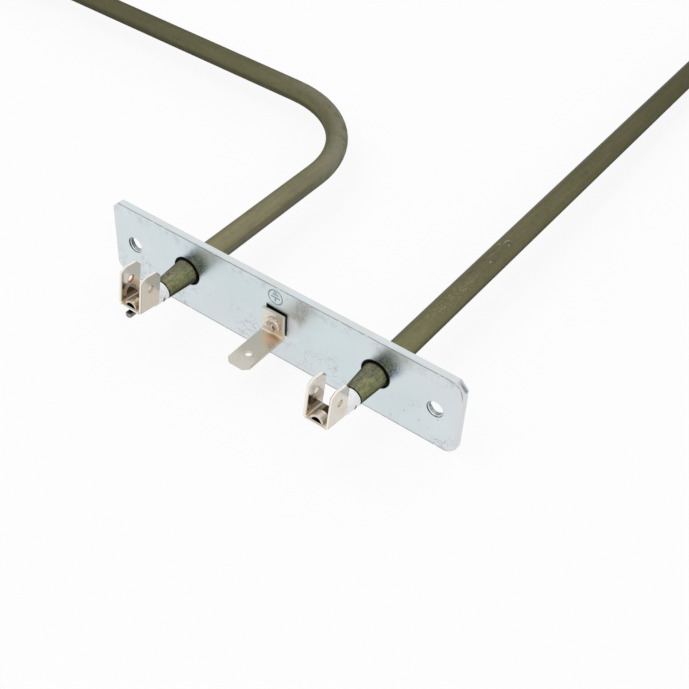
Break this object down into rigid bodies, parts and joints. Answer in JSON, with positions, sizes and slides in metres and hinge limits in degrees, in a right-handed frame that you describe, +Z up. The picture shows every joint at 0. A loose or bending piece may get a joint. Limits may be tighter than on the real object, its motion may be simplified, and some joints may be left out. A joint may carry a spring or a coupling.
{
  "type": "tubular heating element",
  "caption": "Tubular heating element: a bent round sheath tube swaged into a flat flange plate, with ceramic end bushes, push-on tab terminals and a riveted earth tab.",
  "frame": {"origin": "midway between the two fixing holes, on the flange plate's terminal side, which is the face that seats against the wall", "axes": "X along the plate, +Y from the terminal side towards the heated loop, +Z up, the way the terminals' tabs point"},
  "size_m": [0.2453, 0.3042, 0.0223],
  "materials": {
    "zinc_plated_steel": "bright zinc plate, semi-gloss, slightly clouded",
    "oxidised_alloy": "annealed heat-resisting alloy, olive grey, satin",
    "magnesia_powder": "packed magnesium oxide powder",
    "resistance_wire": "nickel-chromium winding",
    "pin_steel": "drawn steel rod",
    "silicone_seal": "cured sealing resin",
    "white_ceramic": "fired white ceramic, smooth",
    "nickel_plated_steel": "nickel plate, semi-bright, warm grey",
    "rivet_steel": "plated steel, rolled"
  },
  "bodies": {
    "root": {"flange_plate": "zinc_plated_steel", "heater_sheath": "oxidised_alloy", "insulation_fill": "magnesia_powder", "resistance_coil": "resistance_wire", "cold_pin_left": "pin_steel", "cold_pin_right": "pin_steel", "end_seal_left": "silicone_seal", "end_seal_right": "silicone_seal", "insulator_left": "white_ceramic", "insulator_right": "white_ceramic", "terminal_left": "nickel_plated_steel", "terminal_right": "nickel_plated_steel", "earth_tab": "nickel_plated_steel", "earth_rivet": "rivet_steel"}
  },
  "joints": []
}
